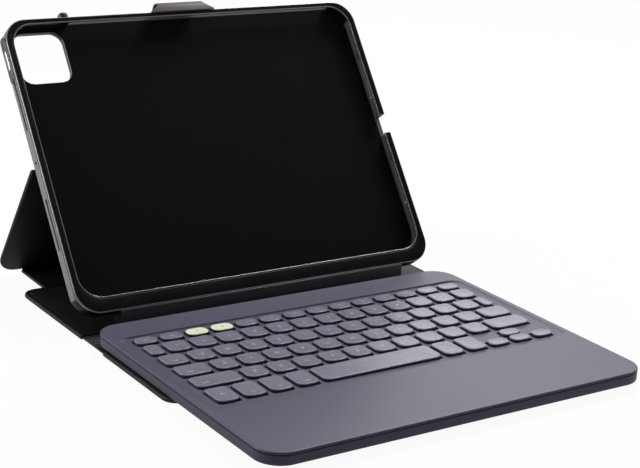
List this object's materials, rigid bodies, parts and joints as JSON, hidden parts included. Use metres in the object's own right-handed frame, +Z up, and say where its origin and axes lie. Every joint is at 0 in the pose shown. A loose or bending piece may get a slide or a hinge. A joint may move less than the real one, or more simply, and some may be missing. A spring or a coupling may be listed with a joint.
{
  "type": "tablet keyboard case",
  "caption": "Folding case for a flat tablet: reclined tray on a hinged stand and folio cover, with a detachable slim keyboard docked in front of it.",
  "frame": {"origin": "middle of the base panel's underside, on the table", "axes": "+X to the right of the person who types, +Y away from them, +Z up"},
  "size_m": [0.2561, 0.326, 0.1697],
  "materials": {
    "folio": "matte black polyurethane skin",
    "tray": "satin",
    "bumper": "satin",
    "lining": "short nap",
    "deck": "satin with fine grain",
    "lower_shell": "satin",
    "key": "satin",
    "pairing_key": "satin",
    "steel": "brushed",
    "magnet": "plated",
    "foot": "matte",
    "laminate": "solder mask",
    "battery": "foil pouch"
  },
  "bodies": {
    "base": {"base_panel": "folio", "flap_hinge_strip": "folio"},
    "flap": {"front_flap": "folio"},
    "spine": {"spine_panel": "folio"},
    "stand": {"stand_panel": "folio"},
    "tray": {"tray_shell": "tray", "tray_bumper": "bumper", "tray_lining": "lining", "camera_surround": "tray", "upper_back_panel": "folio", "foot_plate": "steel"},
    "strap": {"channel_strap": "bumper"},
    "power": {"power_button": "bumper"},
    "volume_up": {"volume_up_button": "bumper"},
    "volume_down": {"volume_down_button": "bumper"},
    "keyboard": {"keyboard_top_cover": "deck", "keyboard_bottom_cover": "lower_shell", "key_frame": "deck", "switch_sheet": "laminate", "backing_plate": "steel", "circuit_board": "laminate", "battery": "battery", "charge_port": "steel", "dock_bar": "lower_shell", "dock_magnet_left": "magnet", "dock_magnet_right": "magnet", "keyboard_magnet_left": "magnet", "keyboard_magnet_right": "magnet", "front_foot_left": "foot", "front_foot_right": "foot"},
    "escape_press_body": {"escape_key": "key"},
    "home_press_body": {"home_key": "key"},
    "pairing_one_press_body": {"pairing_key_one": "pairing_key"},
    "pairing_two_press_body": {"pairing_key_two": "pairing_key"},
    "shortcut_row_press_body": {"shortcut_keys": "key"},
    "grave_press_body": {"grave_key": "key"},
    "digit_row_press_body": {"digit_keys": "key"},
    "delete_press_body": {"delete_key": "key"},
    "tab_press_body": {"tab_key": "key"},
    "upper_letter_row_press_body": {"upper_letter_keys": "key"},
    "backslash_press_body": {"backslash_key": "key"},
    "caps_press_body": {"caps_key": "key"},
    "home_letter_row_press_body": {"home_letter_keys": "key"},
    "return_press_body": {"return_key": "key"},
    "left_shift_press_body": {"left_shift_key": "key"},
    "lower_letter_row_press_body": {"lower_letter_keys": "key"},
    "right_shift_press_body": {"right_shift_key": "key"},
    "function_press_body": {"function_key": "key"},
    "control_press_body": {"control_key": "key"},
    "left_option_press_body": {"left_option_key": "key"},
    "left_command_press_body": {"left_command_key": "key"},
    "space_bar_press_body": {"space_bar": "key"},
    "right_command_press_body": {"right_command_key": "key"},
    "right_option_press_body": {"right_option_key": "key"},
    "left_arrow_press_body": {"left_arrow_key": "key"},
    "up_arrow_press_body": {"up_arrow_key": "key"},
    "down_arrow_press_body": {"down_arrow_key": "key"},
    "right_arrow_press_body": {"right_arrow_key": "key"}
  },
  "joints": [
    {"name": "flap_fold", "type": "hinge", "parent": "base", "child": "flap", "pos_m": [0, -0.0689, 0.0014], "axis": [1, 0, 0], "range_deg": [0, 90]},
    {"name": "spine_fold", "type": "hinge", "parent": "base", "child": "spine", "pos_m": [0, 0.0429, 0.0014], "axis": [-1, 0, 0], "range_deg": [0, 1.13]},
    {"name": "stand_fold", "type": "hinge", "parent": "spine", "child": "stand", "pos_m": [0, 0.08034, 0.00213], "axis": [-1, 0, 0], "range_deg": [0, 122.31]},
    {"name": "tray_fold", "type": "hinge", "parent": "stand", "child": "tray", "pos_m": [0, 0.02622, 0.08413], "axis": [1, 0, 0], "range_deg": [0, 70.14]},
    {"name": "strap_flip", "type": "hinge", "parent": "tray", "child": "strap", "pos_m": [0, 0.08043, 0.16003], "axis": [-1, 0, 0], "range_deg": [0, 100]},
    {"name": "power_press", "type": "slide", "parent": "tray", "child": "power", "axis": [1, 0, 0], "range_m": [0, 0.0008], "stiffness_N_per_m": 900},
    {"name": "volume_up_press", "type": "slide", "parent": "tray", "child": "volume_up", "axis": [0, -0.5976, -0.8018], "range_m": [0, 0.0008], "stiffness_N_per_m": 900},
    {"name": "volume_down_press", "type": "slide", "parent": "tray", "child": "volume_down", "axis": [0, -0.5976, -0.8018], "range_m": [0, 0.0008], "stiffness_N_per_m": 900},
    {"name": "keyboard_pull", "type": "slide", "parent": "base", "child": "keyboard", "axis": [0, -1, 0], "range_m": [0, 0.11]},
    {"name": "escape_key_press", "type": "slide", "parent": "keyboard", "child": "escape_press_body", "axis": [0, 0, -1], "range_m": [0, 0.0012], "stiffness_N_per_m": 400},
    {"name": "home_key_press", "type": "slide", "parent": "keyboard", "child": "home_press_body", "axis": [0, 0, -1], "range_m": [0, 0.0012], "stiffness_N_per_m": 400},
    {"name": "pairing_key_one_press", "type": "slide", "parent": "keyboard", "child": "pairing_one_press_body", "axis": [0, 0, -1], "range_m": [0, 0.0012], "stiffness_N_per_m": 400},
    {"name": "pairing_key_two_press", "type": "slide", "parent": "keyboard", "child": "pairing_two_press_body", "axis": [0, 0, -1], "range_m": [0, 0.0012], "stiffness_N_per_m": 400},
    {"name": "shortcut_keys_press", "type": "slide", "parent": "keyboard", "child": "shortcut_row_press_body", "axis": [0, 0, -1], "range_m": [0, 0.0012], "stiffness_N_per_m": 4000},
    {"name": "grave_key_press", "type": "slide", "parent": "keyboard", "child": "grave_press_body", "axis": [0, 0, -1], "range_m": [0, 0.0012], "stiffness_N_per_m": 400},
    {"name": "digit_keys_press", "type": "slide", "parent": "keyboard", "child": "digit_row_press_body", "axis": [0, 0, -1], "range_m": [0, 0.0012], "stiffness_N_per_m": 4800},
    {"name": "delete_key_press", "type": "slide", "parent": "keyboard", "child": "delete_press_body", "axis": [0, 0, -1], "range_m": [0, 0.0012], "stiffness_N_per_m": 400},
    {"name": "tab_key_press", "type": "slide", "parent": "keyboard", "child": "tab_press_body", "axis": [0, 0, -1], "range_m": [0, 0.0012], "stiffness_N_per_m": 400},
    {"name": "upper_letter_keys_press", "type": "slide", "parent": "keyboard", "child": "upper_letter_row_press_body", "axis": [0, 0, -1], "range_m": [0, 0.0012], "stiffness_N_per_m": 4800},
    {"name": "backslash_key_press", "type": "slide", "parent": "keyboard", "child": "backslash_press_body", "axis": [0, 0, -1], "range_m": [0, 0.0012], "stiffness_N_per_m": 400},
    {"name": "caps_key_press", "type": "slide", "parent": "keyboard", "child": "caps_press_body", "axis": [0, 0, -1], "range_m": [0, 0.0012], "stiffness_N_per_m": 400},
    {"name": "home_letter_keys_press", "type": "slide", "parent": "keyboard", "child": "home_letter_row_press_body", "axis": [0, 0, -1], "range_m": [0, 0.0012], "stiffness_N_per_m": 4400},
    {"name": "return_key_press", "type": "slide", "parent": "keyboard", "child": "return_press_body", "axis": [0, 0, -1], "range_m": [0, 0.0012], "stiffness_N_per_m": 400},
    {"name": "left_shift_key_press", "type": "slide", "parent": "keyboard", "child": "left_shift_press_body", "axis": [0, 0, -1], "range_m": [0, 0.0012], "stiffness_N_per_m": 400},
    {"name": "lower_letter_keys_press", "type": "slide", "parent": "keyboard", "child": "lower_letter_row_press_body", "axis": [0, 0, -1], "range_m": [0, 0.0012], "stiffness_N_per_m": 4000},
    {"name": "right_shift_key_press", "type": "slide", "parent": "keyboard", "child": "right_shift_press_body", "axis": [0, 0, -1], "range_m": [0, 0.0012], "stiffness_N_per_m": 400},
    {"name": "function_key_press", "type": "slide", "parent": "keyboard", "child": "function_press_body", "axis": [0, 0, -1], "range_m": [0, 0.0012], "stiffness_N_per_m": 400},
    {"name": "control_key_press", "type": "slide", "parent": "keyboard", "child": "control_press_body", "axis": [0, 0, -1], "range_m": [0, 0.0012], "stiffness_N_per_m": 400},
    {"name": "left_option_key_press", "type": "slide", "parent": "keyboard", "child": "left_option_press_body", "axis": [0, 0, -1], "range_m": [0, 0.0012], "stiffness_N_per_m": 400},
    {"name": "left_command_key_press", "type": "slide", "parent": "keyboard", "child": "left_command_press_body", "axis": [0, 0, -1], "range_m": [0, 0.0012], "stiffness_N_per_m": 400},
    {"name": "space_bar_press", "type": "slide", "parent": "keyboard", "child": "space_bar_press_body", "axis": [0, 0, -1], "range_m": [0, 0.0012], "stiffness_N_per_m": 400},
    {"name": "right_command_key_press", "type": "slide", "parent": "keyboard", "child": "right_command_press_body", "axis": [0, 0, -1], "range_m": [0, 0.0012], "stiffness_N_per_m": 400},
    {"name": "right_option_key_press", "type": "slide", "parent": "keyboard", "child": "right_option_press_body", "axis": [0, 0, -1], "range_m": [0, 0.0012], "stiffness_N_per_m": 400},
    {"name": "left_arrow_key_press", "type": "slide", "parent": "keyboard", "child": "left_arrow_press_body", "axis": [0, 0, -1], "range_m": [0, 0.0012], "stiffness_N_per_m": 400},
    {"name": "up_arrow_key_press", "type": "slide", "parent": "keyboard", "child": "up_arrow_press_body", "axis": [0, 0, -1], "range_m": [0, 0.0012], "stiffness_N_per_m": 400},
    {"name": "down_arrow_key_press", "type": "slide", "parent": "keyboard", "child": "down_arrow_press_body", "axis": [0, 0, -1], "range_m": [0, 0.0012], "stiffness_N_per_m": 400},
    {"name": "right_arrow_key_press", "type": "slide", "parent": "keyboard", "child": "right_arrow_press_body", "axis": [0, 0, -1], "range_m": [0, 0.0012], "stiffness_N_per_m": 400}
  ],
  "couplings": [
    {"joint": "spine_fold", "follows": "stand_fold", "ratio": 0.009139},
    {"joint": "tray_fold", "follows": "stand_fold", "ratio": 0.57335}
  ]
}
